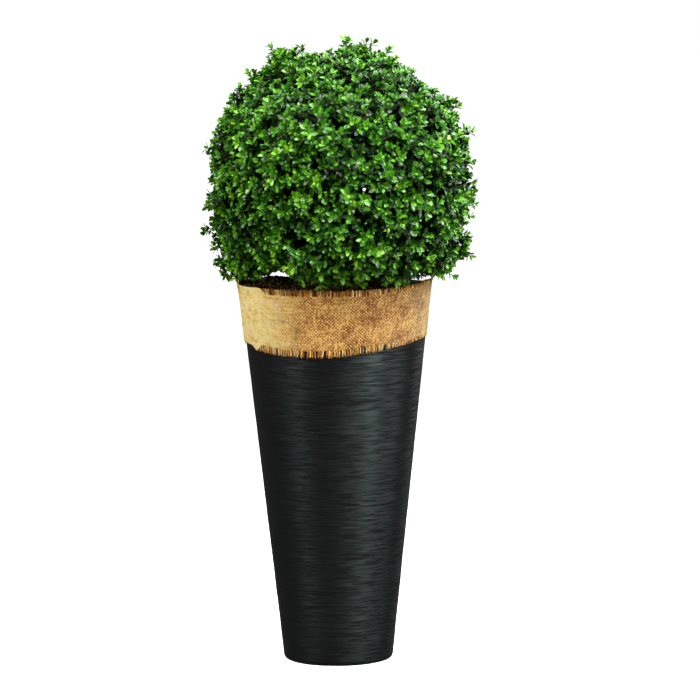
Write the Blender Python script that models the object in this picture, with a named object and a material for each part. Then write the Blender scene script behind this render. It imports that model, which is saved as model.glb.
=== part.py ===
"""Potted boxwood ball topiary: a clipped ball of box foliage on a short stem, in a tall round
tapered planter with a band of burlap round its top.

Metres, +Z up. The origin is the middle of the planter's flat underside, and -Y is the front.
"""

import math
import random

import bmesh
import bpy
from mathutils import Matrix, Vector, noise

# Planter: a straight cone frustum, hollow, with a closed floor
PLANTER_HEIGHT = 0.690
PLANTER_TOP_RADIUS = 0.1754
PLANTER_FOOT_RADIUS = 0.1002
PLANTER_WALL = 0.006
PLANTER_FLOOR = 0.012
FOOT_ROUNDING = 0.008
RIM_ROUNDING = 0.002
ROUND_STEPS = 64
CORNER_STEPS = 4

# Everything that touches keeps this gap
GAP = 0.0003

# Burlap band: one strip of cloth wrapped round the planter, its edges rising to the sides
BAND_THICKNESS = 0.0014
BAND_STEPS = 128
BAND_FRAY = 0.0012
BAND_SEED = 5
# Heights of its edges at bearings in degrees, 0 at the front and growing to the right
BAND_TOP = ((0, 0.694), (25, 0.695), (50, 0.699), (75, 0.706), (100, 0.703), (150, 0.697),
            (210, 0.696), (270, 0.696), (310, 0.695))
BAND_BOTTOM = ((0, 0.573), (22, 0.580), (45, 0.588), (70, 0.596), (100, 0.598), (150, 0.596),
               (210, 0.590), (270, 0.583), (300, 0.579), (325, 0.573))

# Soil: it fills the planter to just under the rim and crowns a little at the middle
SOIL_EDGE_DROP = 0.008
SOIL_CROWN_RISE = 0.010
SOIL_PAD_RADIUS = 0.026
SOIL_LUMP = 0.0022
SOIL_LUMPS_PER_M = 38.0
SOIL_LEAST_LUMP = 0.4
SOIL_RINGS = 7

# Stem: the short trunk between the soil and the crown, hidden under the foliage
STEM_TOP = 0.800
STEM_TOP_RADIUS = 0.0085
STEM_FLARE_RADIUS = 0.0200
STEM_FLARE_HEIGHT = 0.022
STEM_SIDES = 12
STEM_RINGS = 7
STEM_TAPER = 0.35
INNER_STEM_TAPER = 0.8
ROOT_LOBES = 4
ROOT_LOBE_DEPTH = 0.16

# Crown: its centre stands a little to the right of the planter's axis
CROWN_CENTRE = Vector((0.011, 0.0, 0.882))
CROWN_RADIUS = 0.255
# How much further it reaches between its sides and its top, and low down, where it is fullest
SQUARENESS = 0.009
LOWER_FULLNESS = 0.012
FULLEST_SLOPE = -0.52
FULL_WIDTH = 0.22
CORNER_POWER = 20
LEAST_SLOPE = 0.001
REACH_SLACK = 1.03
CROWN_UNDERSIDE = 0.701
# Where the underside is higher: bearing and width in degrees, and height
UNDERSIDE_RISES = ((-62, 30, 0.026), (80, 24, 0.018), (180, 60, 0.006))
LUMPS = 26
LUMP_HEIGHT = 0.011
LUMP_SHARPNESS = 9.0
CROWN_SEED = 11

# Core of the crown, the dense inner growth that the sprigs stand out of
CORE_INSET = 0.046
CORE_LIFT = 0.018
CORE_GRAIN = 0.004
CORE_GRAINS = 6
SOCKET_CLEARANCE = 0.004
SOCKET_ROOM = 0.020

# Sprigs: a three-sided twig with two opposite pairs of leaves, the upper turned across the lower
SPRIGS = 102
TWIG_ROOT_RADIUS = 0.0042
TWIG_TIP_RADIUS = 0.0034
TWIG_SUNK = 0.018
TIP_SWAY = 0.004
DIRECTION_SWAY = 0.05
OUTWARD_PULL = 1.6
BOUGHS = 9
BOUGH_SHARE = 0.45
LEAF_LENGTH = 0.046
LEAF_WIDTH = 0.029
LEAF_THICKNESS = 0.0022
LEAF_WIDEST = 0.58
LEAF_SUNK = 0.0012
# Each pair's distance below the twig's tip, and the leans in degrees it tries until it fits
PAIRS = ((0.0125, (66, 48, 30)), (0.0020, (34, 60, 12)))
TIP_INSET = 0.036
LOWEST_SLOPE = -0.30
GOLDEN_ANGLE = math.pi * (3 - math.sqrt(5))


def clear_scene():
    for thing in list(bpy.data.objects):
        bpy.data.objects.remove(thing, do_unlink=True)


def finish(name, colour, roughness, metallic=0.0):
    """A plain material of one colour."""
    made = bpy.data.materials.new(name)
    made.use_nodes = True
    shader = made.node_tree.nodes["Principled BSDF"]
    shader.inputs["Base Color"].default_value = (*colour, 1.0)
    shader.inputs["Roughness"].default_value = roughness
    shader.inputs["Metallic"].default_value = metallic
    made.diffuse_color = (*colour, 1.0)
    return made


def add_piece(name, shape, material, smooth_under=None):
    """Turns a bmesh into a named object, shaded smooth where its faces meet under an angle."""
    mesh = bpy.data.meshes.new(name)
    shape.to_mesh(mesh)
    shape.free()
    if material:
        mesh.materials.append(material)
    if smooth_under is not None:
        mesh.shade_smooth()
        mesh.set_sharp_from_angle(angle=smooth_under)
    piece = bpy.data.objects.new(name, mesh)
    bpy.context.scene.collection.objects.link(piece)
    return piece


def turned(profile, steps, closed=False):
    """Spins a profile of (radius, height) points once round the Z axis."""
    shape = bmesh.new()
    points = [shape.verts.new((radius, 0.0, height)) for radius, height in profile]
    ends = zip(points, points[1:] + points[:1] if closed else points[1:])
    edges = [shape.edges.new(pair) for pair in ends]
    bmesh.ops.spin(
        shape,
        geom=points + edges,
        cent=(0, 0, 0),
        axis=(0, 0, 1),
        angle=2 * math.pi,
        steps=steps,
        use_duplicate=False,
    )
    bmesh.ops.remove_doubles(shape, verts=shape.verts, dist=1e-5)
    bmesh.ops.recalc_face_normals(shape, faces=shape.faces)
    return shape


def planter_radius(height):
    """The planter's outer radius at a height."""
    share = height / PLANTER_HEIGHT
    return PLANTER_FOOT_RADIUS + (PLANTER_TOP_RADIUS - PLANTER_FOOT_RADIUS) * share


def rounded(centre, radius, start, end, steps):
    """Points of an arc in a profile, from one angle to another."""
    points = []
    for step in range(steps + 1):
        angle = start + (end - start) * step / steps
        points.append((centre[0] + radius * math.cos(angle), centre[1] + radius * math.sin(angle)))
    return points


def make_planter():
    """The hollow planter, turned from the profile of its wall and floor."""
    slope = math.atan((PLANTER_TOP_RADIUS - PLANTER_FOOT_RADIUS) / PLANTER_HEIGHT)
    foot_centre = (planter_radius(FOOT_ROUNDING) - FOOT_ROUNDING / math.cos(slope), FOOT_ROUNDING)
    rim_outer = (planter_radius(PLANTER_HEIGHT - RIM_ROUNDING) - RIM_ROUNDING,
                 PLANTER_HEIGHT - RIM_ROUNDING)
    rim_inner = (rim_outer[0] - PLANTER_WALL + 2 * RIM_ROUNDING, rim_outer[1])
    profile = [(0.0, 0.0)]
    profile += rounded(foot_centre, FOOT_ROUNDING, -math.pi / 2, -slope, CORNER_STEPS)
    profile += rounded(rim_outer, RIM_ROUNDING, 0.0, math.pi / 2, 2)
    profile += rounded(rim_inner, RIM_ROUNDING, math.pi / 2, math.pi, 2)
    profile.append((planter_radius(PLANTER_FLOOR) - PLANTER_WALL, PLANTER_FLOOR))
    profile.append((0.0, PLANTER_FLOOR))
    resin = finish("black_woven_resin", (0.012, 0.012, 0.013), 0.45)
    add_piece("planter", turned(profile, ROUND_STEPS), resin, math.radians(35))


def edge_height(points, bearing):
    """Height of a closed edge at a bearing, on a smooth curve through its points."""
    degrees = math.degrees(bearing) % 360
    count = len(points)
    place = max(i for i in range(count) if points[i][0] <= degrees)
    around = [points[(place + step) % count] for step in (-1, 0, 1, 2)]
    start = around[1][0]
    span = (around[2][0] - start) % 360
    share = (degrees - start) / span
    before = (start - around[0][0]) % 360
    after = (around[3][0] - around[2][0]) % 360
    rise = around[2][1] - around[1][1]
    slope_in = (around[2][1] - around[0][1]) / (before + span) * span
    slope_out = (around[3][1] - around[1][1]) / (span + after) * span
    cubed = slope_in + slope_out - 2 * rise
    squared = 3 * rise - 2 * slope_in - slope_out
    return around[1][1] + ((cubed * share + squared) * share + slope_in) * share


def make_band():
    """The burlap strip, a thin ring that follows the planter's taper, with frayed edges."""
    fray = random.Random(BAND_SEED)
    inner = PLANTER_TOP_RADIUS + GAP
    outer = inner + BAND_THICKNESS
    shape = turned([(inner, 0.0), (outer, 0.0), (outer, 1.0), (inner, 1.0)], BAND_STEPS, True)
    ragged = {}
    for corner in shape.verts:
        bearing = math.atan2(corner.co.x, -corner.co.y)
        upper = corner.co.z > 0.5
        away = corner.co.xy.length - PLANTER_TOP_RADIUS
        key = (round(bearing * BAND_STEPS / (2 * math.pi)) % BAND_STEPS, upper)
        if key not in ragged:
            ragged[key] = fray.uniform(-BAND_FRAY, BAND_FRAY)
        height = edge_height(BAND_TOP if upper else BAND_BOTTOM, bearing) + ragged[key]
        radius = planter_radius(height) + away
        corner.co = Vector((radius * math.sin(bearing), -radius * math.cos(bearing), height))
    jute = finish("jute_burlap", (0.42, 0.23, 0.075), 0.9)
    add_piece("burlap_band", shape, jute, math.radians(35))


def soil_height(radius, wall_radius):
    """Height of the soil's surface before its lumps, flat under the stem."""
    edge = PLANTER_HEIGHT - SOIL_EDGE_DROP
    outward = max(0.0, radius - SOIL_PAD_RADIUS) / (wall_radius - SOIL_PAD_RADIUS)
    return edge + SOIL_CROWN_RISE * (1 + math.cos(math.pi * outward)) / 2


def make_soil():
    """The potting mix, a plug that fills the planter and crowns in lumps round the stem."""
    slope = math.atan((PLANTER_TOP_RADIUS - PLANTER_FOOT_RADIUS) / PLANTER_HEIGHT)
    inset = PLANTER_WALL + GAP / math.cos(slope)
    bottom = PLANTER_FLOOR + GAP
    edge = PLANTER_HEIGHT - SOIL_EDGE_DROP
    wall_radius = planter_radius(edge) - inset
    profile = [(0.0, bottom), (planter_radius(bottom) - inset, bottom), (wall_radius, edge)]
    for ring in range(1, SOIL_RINGS):
        inward = ring / (SOIL_RINGS - 1)
        radius = wall_radius + (SOIL_PAD_RADIUS - wall_radius) * inward
        profile.append((radius, soil_height(radius, wall_radius)))
    profile.append((0.0, soil_height(0.0, wall_radius)))
    shape = turned(profile, ROUND_STEPS)
    for corner in shape.verts:
        radius = corner.co.xy.length
        if corner.co.z > edge + 1e-4 and radius > SOIL_PAD_RADIUS + 1e-4:
            bump = noise.noise(corner.co * SOIL_LUMPS_PER_M)
            corner.co.z += SOIL_LUMP * (bump + SOIL_LEAST_LUMP)
    mix = finish("potting_mix", (0.020, 0.014, 0.008), 0.95)
    add_piece("soil", shape, mix)
    return soil_height(0.0, wall_radius)


def stem_axis(height, foot):
    """The stem's middle at a height: it leans a little, towards the crown's centre."""
    share = (height - foot) / (CROWN_CENTRE.z - foot)
    return Vector((CROWN_CENTRE.x * share, CROWN_CENTRE.y * share, height))


def stem_radius(height, foot):
    """The stem's radius at a height, with its taper and the flare of its roots."""
    share = (height - foot) / (STEM_TOP - foot)
    plain = STEM_TOP_RADIUS * (1 + STEM_TAPER * (1 - share))
    flare = math.exp(-2 * ((height - foot) / STEM_FLARE_HEIGHT) ** 1.5)
    return plain + (STEM_FLARE_RADIUS - STEM_TOP_RADIUS * (1 + STEM_TAPER)) * flare


def upright_limb(rings):
    """A closed limb through level rings, each with its middle, radius and depth of lobes."""
    shape = bmesh.new()
    loops = []
    for middle, radius, lobes in rings:
        corners = []
        for side in range(STEM_SIDES):
            angle = 2 * math.pi * side / STEM_SIDES
            spread = radius * (1 + lobes * math.cos(ROOT_LOBES * angle))
            offset = Vector((spread * math.cos(angle), spread * math.sin(angle), 0))
            corners.append(shape.verts.new(middle + offset))
        loops.append([shape.edges.new((corners[i - 1], corners[i])) for i in range(STEM_SIDES)])
    for lower, upper in zip(loops, loops[1:]):
        bmesh.ops.bridge_loops(shape, edges=lower + upper)
    bmesh.ops.holes_fill(shape, edges=loops[0] + loops[-1], sides=STEM_SIDES)
    bmesh.ops.recalc_face_normals(shape, faces=shape.faces)
    return shape


def make_stem(foot):
    """The short trunk, flat at the soil and at its tip, flared where its roots spread."""
    rings = []
    for ring in range(STEM_RINGS):
        share = ring / (STEM_RINGS - 1)
        height = foot + (STEM_TOP - foot) * share**1.4
        lobes = ROOT_LOBE_DEPTH * (1 - share) ** 3
        rings.append((stem_axis(height, foot), stem_radius(height, foot), lobes))
    bark = finish("boxwood_bark", (0.16, 0.115, 0.075), 0.85)
    add_piece("stem", upright_limb(rings), bark, math.radians(40))


def spiral(count, index):
    """The direction of one of many points spread evenly over a sphere."""
    height = 1 - (2 * index + 1) / count
    across = math.sqrt(1 - height * height)
    turn = index * GOLDEN_ANGLE
    return Vector((across * math.cos(turn), across * math.sin(turn), height))


def underside(direction):
    """Height of the crown's flat underside, which is higher at the left and right sides."""
    bearing = math.degrees(math.atan2(direction.x, -direction.y))
    rise = 0.0
    for middle, width, height in UNDERSIDE_RISES:
        away = (bearing - middle + 180) % 360 - 180
        rise += height * math.exp(-((away / width) ** 2))
    return CROWN_UNDERSIDE + rise


def crown_lumps():
    """Directions and heights of the soft lumps that clipping leaves in the ball."""
    chance = random.Random(CROWN_SEED)
    return [(spiral(LUMPS, i), chance.uniform(-1, 1) * LUMP_HEIGHT) for i in range(LUMPS)]


def reach(direction, lumps, inset=0.0, lift=0.0):
    """How far the crown comes from its centre in a direction, or a shape inset from it."""
    free = CROWN_RADIUS - inset
    for centre, height in lumps:
        free += height * math.exp(LUMP_SHARPNESS * (direction.dot(centre) - 1))
    free += SQUARENESS * 4 * direction.z**2 * (1 - direction.z**2)
    free += LOWER_FULLNESS * math.exp(-(((direction.z - FULLEST_SLOPE) / FULL_WIDTH) ** 2))
    if direction.z >= 0:
        return free
    steepness = max(-direction.z, LEAST_SLOPE)
    down = (CROWN_CENTRE.z - underside(direction) - lift) / steepness
    return (free**-CORNER_POWER + down**-CORNER_POWER) ** (-1 / CORNER_POWER)


def limb(shape, start, end, start_radius, end_radius, sides):
    """Adds a tapered limb of few sides between two points."""
    along = end - start
    turn = along.to_track_quat("Z", "Y").to_matrix().to_4x4()
    bmesh.ops.create_cone(
        shape,
        cap_ends=True,
        segments=sides,
        radius1=start_radius,
        radius2=end_radius,
        depth=along.length,
        matrix=Matrix.Translation((start + end) / 2) @ turn,
    )


def apply_modifiers(thing):
    """Replaces an object's mesh by what its modifiers make of it."""
    graph = bpy.context.evaluated_depsgraph_get()
    made = bpy.data.meshes.new_from_object(thing.evaluated_get(graph), depsgraph=graph)
    thing.modifiers.clear()
    thing.data = made


def make_core(lumps, foot):
    """The dense inside of the crown: a lumpy ball with a socket where the stem comes in."""
    shape = bmesh.new()
    bmesh.ops.create_icosphere(shape, subdivisions=4, radius=1.0)
    for corner in shape.verts:
        direction = corner.co.normalized()
        grain = CORE_GRAIN * noise.noise(direction * CORE_GRAINS)
        edge = reach(direction, lumps, CORE_INSET, CORE_LIFT)
        corner.co = CROWN_CENTRE + direction * (edge + grain)
    core = add_piece("foliage_ball", shape, finish("clipped_box_foliage", (0.055, 0.15, 0.028), 0.6))
    width = STEM_TOP_RADIUS * (1 + STEM_TAPER) + SOCKET_CLEARANCE
    ends = (foot, STEM_TOP + SOCKET_ROOM)
    cutter = upright_limb([(stem_axis(height, foot), width, 0) for height in ends])
    socket = add_piece("stem_socket", cutter, None)
    cut = core.modifiers.new("stem_socket", "BOOLEAN")
    cut.operation = "DIFFERENCE"
    cut.object = socket
    apply_modifiers(core)
    bpy.data.objects.remove(socket, do_unlink=True)
    return core


def leaf_points(root, along, flat):
    """The six corners of a leaf: root, tip, its two sides, and its raised and hollow middle."""
    side = along.cross(flat).normalized()
    up = side.cross(along).normalized()
    middle = root + along * (LEAF_LENGTH * LEAF_WIDEST)
    return (
        root,
        root + along * LEAF_LENGTH,
        middle + side * (LEAF_WIDTH / 2),
        middle - side * (LEAF_WIDTH / 2),
        middle + up * (LEAF_THICKNESS / 2),
        middle - up * (LEAF_THICKNESS / 2),
    )


def leaf_shape(points):
    """A closed leaf of eight faces."""
    shape = bmesh.new()
    root, tip, right, left, top, bottom = (shape.verts.new(point) for point in points)
    for a, b in ((root, right), (right, tip), (tip, left), (left, root)):
        shape.faces.new((a, b, top))
        shape.faces.new((b, a, bottom))
    bmesh.ops.recalc_face_normals(shape, faces=shape.faces)
    return shape


def in_space(points, lumps, foot):
    """True if all points lie within the crown's reach and clear of the stem."""
    for point in points:
        away = point - CROWN_CENTRE
        direction = away.normalized()
        if away.length > reach(direction, lumps) * REACH_SLACK:
            return False
        if point.z < underside(direction):
            return False
        if point.z < STEM_TOP + SOCKET_ROOM:
            beside = point.xy - stem_axis(point.z, foot).xy
            if beside.length < STEM_FLARE_RADIUS + SOCKET_CLEARANCE:
                return False
    return True


def make_sprigs(lumps, foot, group):
    """Twigs that branch from the crown's boughs, each with its leaves, in a collection."""
    chance = random.Random(CROWN_SEED + 1)
    boughs = [CROWN_CENTRE + spiral(BOUGHS, i) * CROWN_RADIUS * BOUGH_SHARE for i in range(BOUGHS)]
    for index in range(SPRIGS):
        sway = [chance.uniform(-1, 1) for _ in range(5)]
        direction = (spiral(SPRIGS, index) + Vector(sway[:3]) * DIRECTION_SWAY).normalized()
        edge = reach(direction, lumps, TIP_INSET, CORE_LIFT)
        tip = CROWN_CENTRE + direction * (edge + TIP_SWAY * sway[3])
        bough = min(boughs, key=lambda end: (end - tip).length)
        along = (direction * OUTWARD_PULL + (tip - bough).normalized()).normalized()
        along.z = max(along.z, LOWEST_SLOPE)
        along.normalize()
        if not in_space((tip,), lumps, foot):
            continue
        root = tip - along * (CORE_INSET - TIP_INSET + TWIG_SUNK)
        twig = bmesh.new()
        limb(twig, root, tip, TWIG_ROOT_RADIUS, TWIG_TIP_RADIUS, 3)
        parts = [twig]
        level = along.orthogonal().normalized()
        level.rotate(Matrix.Rotation(math.pi * sway[4], 3, along))
        for below, leans in PAIRS:
            for side in (level, -level):
                for lean in map(math.radians, leans):
                    way = (along * math.cos(lean) + side * math.sin(lean)).normalized()
                    points = leaf_points(tip - along * below - way * LEAF_SUNK, way, along)
                    if in_space(points[1:], lumps, foot):
                        parts.append(leaf_shape(points))
                        break
            level = along.cross(level)
        for part in parts:
            piece = add_piece("sprig_part", part, None)
            bpy.context.scene.collection.objects.unlink(piece)
            group.objects.link(piece)


def shells(shape):
    """The connected groups of faces of a bmesh."""
    left = set(shape.faces)
    found = []
    while left:
        first = left.pop()
        shell = [first]
        for face in shell:
            for edge in face.edges:
                for other in edge.link_faces:
                    if other in left:
                        left.discard(other)
                        shell.append(other)
        found.append(shell)
    return found


def shell_volume(faces):
    """Six times the volume inside a shell, negative if it bounds a hollow."""
    total = 0.0
    for face in faces:
        corners = [loop.vert.co for loop in face.loops]
        for second, third in zip(corners[1:], corners[2:]):
            total += corners[0].dot(second.cross(third))
    return total


def keep_main_shell(thing):
    """Fills hollows that the fusing sealed and drops loose scraps."""
    shape = bmesh.new()
    shape.from_mesh(thing.data)
    found = shells(shape)
    main = max(found, key=shell_volume)
    scraps = [face for shell in found if shell is not main for face in shell]
    bmesh.ops.delete(shape, geom=scraps, context="FACES")
    bmesh.ops.triangulate(shape, faces=shape.faces)
    shape.to_mesh(thing.data)
    shape.free()


def make_foliage(foot):
    """The clipped crown as one solid: its own stem, core, twigs and leaves fused together."""
    lumps = crown_lumps()
    core = make_core(lumps, foot)
    group = bpy.data.collections.new("sprigs")
    bpy.context.scene.collection.children.link(group)
    ends = ((STEM_TOP + GAP, STEM_TOP_RADIUS), (CROWN_CENTRE.z, STEM_TOP_RADIUS * INNER_STEM_TAPER))
    inner_stem = upright_limb([(stem_axis(height, foot), radius, 0) for height, radius in ends])
    piece = add_piece("inner_stem", inner_stem, None)
    bpy.context.scene.collection.objects.unlink(piece)
    group.objects.link(piece)
    make_sprigs(lumps, foot, group)
    union = core.modifiers.new("fused", "BOOLEAN")
    union.operation = "UNION"
    union.operand_type = "COLLECTION"
    union.collection = group
    union.solver = "EXACT"
    apply_modifiers(core)
    for part in list(group.objects):
        bpy.data.objects.remove(part, do_unlink=True)
    bpy.data.collections.remove(group)
    keep_main_shell(core)
    core.data.shade_smooth()
    core.data.set_sharp_from_angle(angle=math.radians(40))


def build():
    clear_scene()
    make_planter()
    make_band()
    soil_top = make_soil()
    stem_foot = soil_top + GAP
    make_stem(stem_foot)
    make_foliage(stem_foot)


build()
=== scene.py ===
import math
import random

import bmesh
import bpy
import numpy as np
from mathutils import Matrix, Vector, noise


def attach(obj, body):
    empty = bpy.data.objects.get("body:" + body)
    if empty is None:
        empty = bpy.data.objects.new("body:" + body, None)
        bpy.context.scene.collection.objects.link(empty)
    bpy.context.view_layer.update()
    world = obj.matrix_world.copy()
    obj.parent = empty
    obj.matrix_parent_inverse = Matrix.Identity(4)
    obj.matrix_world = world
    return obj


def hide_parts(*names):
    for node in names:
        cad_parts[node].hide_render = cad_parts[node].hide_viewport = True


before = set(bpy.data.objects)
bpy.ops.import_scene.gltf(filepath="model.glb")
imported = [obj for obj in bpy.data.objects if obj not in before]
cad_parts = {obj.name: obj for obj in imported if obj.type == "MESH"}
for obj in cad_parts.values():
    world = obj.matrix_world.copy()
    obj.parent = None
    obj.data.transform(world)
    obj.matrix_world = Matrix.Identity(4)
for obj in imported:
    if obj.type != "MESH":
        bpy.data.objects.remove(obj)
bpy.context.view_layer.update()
bpy.ops.object.select_all(action="DESELECT")


# Camera
# A long lens stands seven metres in front, a little above the ball, and looks slightly down.
# It is rolled half a degree, which leans the planter's top to the left as in the picture.
CAMERA_PLACE = Vector((0.026, -7.0, 1.30))
CAMERA_LENS = 197.5
LOOKS_DOWN = math.radians(5.955)
CAMERA_ROLL = math.radians(-0.5)

bpy.ops.object.camera_add()
camera = bpy.context.object
camera.name = "camera"
camera.data.lens = CAMERA_LENS
aim = Matrix.Rotation(math.pi / 2 - LOOKS_DOWN, 4, "X") @ Matrix.Rotation(CAMERA_ROLL, 4, "Z")
camera.matrix_world = Matrix.Translation(CAMERA_PLACE) @ aim
bpy.context.scene.camera = camera


# Floor, backdrop and lamps
# A pale studio: a matt floor and a dome behind it that only the camera sees, so they light
# nothing. Soft boxes stand at the front right, the right and behind it, two more hang above, and
# wide lamps that shiny things don't mirror fill the top, the back and the low left.
STUDIO_RADIUS = 40.0
FLOOR_GLOW = 1.12
BACKDROP_GLOW = 1.0
ROOM_GREY = "8E9296"
ROOM_STRENGTH = 0.15
# Place, the height that it aims at over the foot, width, height, watts, colour and spread in
# degrees. The planter's foot is in the fading edge of the narrow ones.
SOFT_BOXES = {
    "tall_soft_box": ((1.84, -1.24, 1.92), 0.67, 1.9, 1.2, 9, "F8FFFA", 40),
    "high_soft_box": ((0.80, -0.85, 3.1), 0.95, 1.2, 2.2, 22, "FFFFFA", 50),
    "right_soft_box": ((2.95, -0.10, 1.8), 0.75, 1.2, 1.8, 32, "FFFFFF", 180),
    "edge_soft_box": ((1.75, 2.45, 1.7), 0.70, 0.9, 1.5, 38, "FFFFFF", 180),
    "high_left_soft_box": ((-2.1, -0.9, 2.7), 0.95, 1.0, 0.9, 76, "FFFFFF", 180),
    "back_fill": ((0.6, 3.0, 1.9), 0.7, 2.4, 2.0, 44, "FFFFFF", 180),
    "high_fill": ((0.2, -0.9, 3.3), 0.95, 2.4, 2.4, 84, "FFFFFF", 180),
    "low_fill": ((-2.1, -1.85, 0.70), 0.6, 1.2, 1.2, 42, "FFF6E4", 180),
}


def linear(code):
    """An sRGB hex colour as the linear colour that a shader takes."""
    shares = [int(code[i:i + 2], 16) / 255 for i in (0, 2, 4)]
    bent = [c / 12.92 if c <= 0.04045 else ((c + 0.055) / 1.055) ** 2.4 for c in shares]
    return (*bent, 1.0)


def feed(node, inputs):
    """Fills a node's inputs, by name or in their order. A node or a socket given is linked."""
    if isinstance(inputs, dict):
        sockets = [node.inputs[name] for name in inputs]
        inputs = inputs.values()
    else:
        sockets = [socket for socket in node.inputs if socket.enabled]
    for socket, value in zip(sockets, inputs):
        if isinstance(value, str):
            value = linear(value)
        if isinstance(value, bpy.types.Node):
            value = next(output for output in value.outputs if output.enabled)
        if isinstance(value, bpy.types.NodeSocket):
            node.id_data.links.new(value, socket)
        else:
            socket.default_value = value


def new_finish(name, colour, roughness, ior=1.5):
    """A material, the function that adds nodes to it, and its Principled shader."""
    material = bpy.data.materials.new(name)
    material.use_nodes = True
    material.diffuse_color = linear(colour)
    nodes = material.node_tree.nodes
    shader = nodes["Principled BSDF"]
    feed(shader, {"Base Color": colour, "Roughness": roughness, "IOR": ior})

    def add_node(kind, inputs=(), **settings):
        node = nodes.new("ShaderNode" + kind)
        for setting, value in settings.items():
            setattr(node, setting, value)
        feed(node, inputs)
        return node

    return material, add_node, shader


def put_on_stage(name, finish_name, colour, roughness, glow):
    """Makes the object just added a glowing piece that only the camera sees."""
    thing = bpy.context.object
    thing.name = name
    finish, _, shader = new_finish(finish_name, colour, roughness)
    feed(shader, {"Emission Color": "FFFFFF", "Emission Strength": glow})
    finish.cycles.emission_sampling = "NONE"
    thing.data.materials.append(finish)
    for rays in ("diffuse", "glossy", "transmission", "volume_scatter", "shadow"):
        setattr(thing, f"visible_{rays}", False)
    return shader


bpy.ops.mesh.primitive_circle_add(vertices=128, radius=STUDIO_RADIUS, fill_type="NGON")
put_on_stage("studio_floor", "floor_paper", "F4F4F4", 0.9, FLOOR_GLOW)
bpy.ops.mesh.primitive_uv_sphere_add(segments=64, ring_count=32, radius=STUDIO_RADIUS)
shader = put_on_stage("studio_backdrop", "backdrop_white", "000000", 1.0, BACKDROP_GLOW)
feed(shader, {"Specular IOR Level": 0.0})

room = bpy.data.worlds.new("studio_room")
room.use_nodes = True
feed(room.node_tree.nodes["Background"], {"Color": ROOM_GREY, "Strength": ROOM_STRENGTH})
bpy.context.scene.world = room
bpy.context.scene.view_settings.view_transform = "Standard"

for name, (place, aim_height, width, height, watts, colour, spread) in SOFT_BOXES.items():
    bpy.ops.object.light_add(type="AREA", location=place)
    lamp = bpy.context.object
    lamp.name = name
    lamp.data.shape = "RECTANGLE"
    lamp.data.size = width
    lamp.data.size_y = height
    lamp.data.energy = watts
    lamp.data.color = linear(colour)[:3]
    lamp.data.spread = math.radians(spread)
    facing = Vector((0, 0, aim_height)) - Vector(place)
    lamp.rotation_euler = facing.to_track_quat("-Z", "Y").to_euler()
    lamp.visible_glossy = not name.endswith("fill")


# Planter
# A tall round tapered planter of black resin, its outside combed level while it was soft, so
# fine broken ridges run round it. Rim and foot are rounded, and the inside is plain.
PLANTER_HEIGHT = 0.690
PLANTER_TOP_RADIUS = 0.1751
PLANTER_FOOT_RADIUS = 0.0999
PLANTER_WALL = 0.006
PLANTER_FLOOR = 0.012
RIM_ROUNDING = 0.002
FOOT_ROUNDING = 0.008
PLANTER_STEPS = 128
ROW_CUTS = 22
# Two reliefs on its outside: the length of their waves round it, their height, and their depth
RELIEFS = {"comb": (0.060, 0.0032, 0.00035), "hand_wave": (0.050, 0.050, 0.0009)}
# How far off a corner may be in a test of where it lies
HAIR = 1e-4


def start_editing(name, selects):
    """Names the object just added and opens it in edit mode."""
    piece = bpy.context.object
    piece.name = name
    bpy.ops.object.transform_apply(location=True)
    bpy.ops.object.mode_set(mode="EDIT")
    bpy.ops.mesh.select_mode(type=selects)
    return piece


def select_where(piece, kind, wanted):
    """Selects, in edit mode, the verts or the edges whose ends a test picks."""
    bpy.ops.mesh.select_all(action="DESELECT")
    shape = bmesh.from_edit_mesh(piece.data)
    for thing in getattr(shape, kind):
        if wanted(*[end.co for end in getattr(thing, "verts", [thing])]):
            thing.select = True
    if kind == "verts":
        shape.select_flush_mode()
    bmesh.update_edit_mesh(piece.data)


def planter_radius(height):
    share = height / PLANTER_HEIGHT
    return PLANTER_FOOT_RADIUS + (PLANTER_TOP_RADIUS - PLANTER_FOOT_RADIUS) * share


bpy.ops.mesh.primitive_cylinder_add(
    vertices=PLANTER_STEPS, radius=PLANTER_FOOT_RADIUS, depth=PLANTER_HEIGHT,
    location=(0, 0, PLANTER_HEIGHT / 2),
)
planter = start_editing("planter_shell", "VERT")
widening = PLANTER_TOP_RADIUS / PLANTER_FOOT_RADIUS
select_where(planter, "verts", lambda co: co.z > PLANTER_HEIGHT - HAIR)
bpy.ops.transform.resize(value=(widening, widening, 1))
bpy.ops.mesh.inset(thickness=PLANTER_WALL)
bpy.ops.mesh.extrude_region_move(
    TRANSFORM_OT_translate={"value": (0, 0, PLANTER_FLOOR - PLANTER_HEIGHT)}
)
narrowing = (planter_radius(PLANTER_FLOOR) - PLANTER_WALL) / (PLANTER_TOP_RADIUS - PLANTER_WALL)
bpy.ops.transform.resize(value=(narrowing, narrowing, 1))
bpy.ops.mesh.select_mode(type="EDGE")
select_where(planter, "edges", lambda a, b: min(a.z, b.z) > PLANTER_HEIGHT - HAIR
             and abs(a.xy.length - b.xy.length) < HAIR)
bpy.ops.mesh.bevel(offset=RIM_ROUNDING, segments=4)
select_where(planter, "edges", lambda a, b: max(a.z, b.z) < HAIR)
bpy.ops.mesh.bevel(offset=FOOT_ROUNDING, segments=6)
for _ in range(2):
    select_where(planter, "edges", lambda a, b: abs(a.z - b.z) > 0.01
                 and min(a.z, b.z) > FOOT_ROUNDING / 2
                 and max(end.xy.length - planter_radius(end.z) for end in (a, b)) > -0.001)
    bpy.ops.mesh.subdivide(number_cuts=ROW_CUTS)
bpy.ops.object.mode_set(mode="OBJECT")

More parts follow.
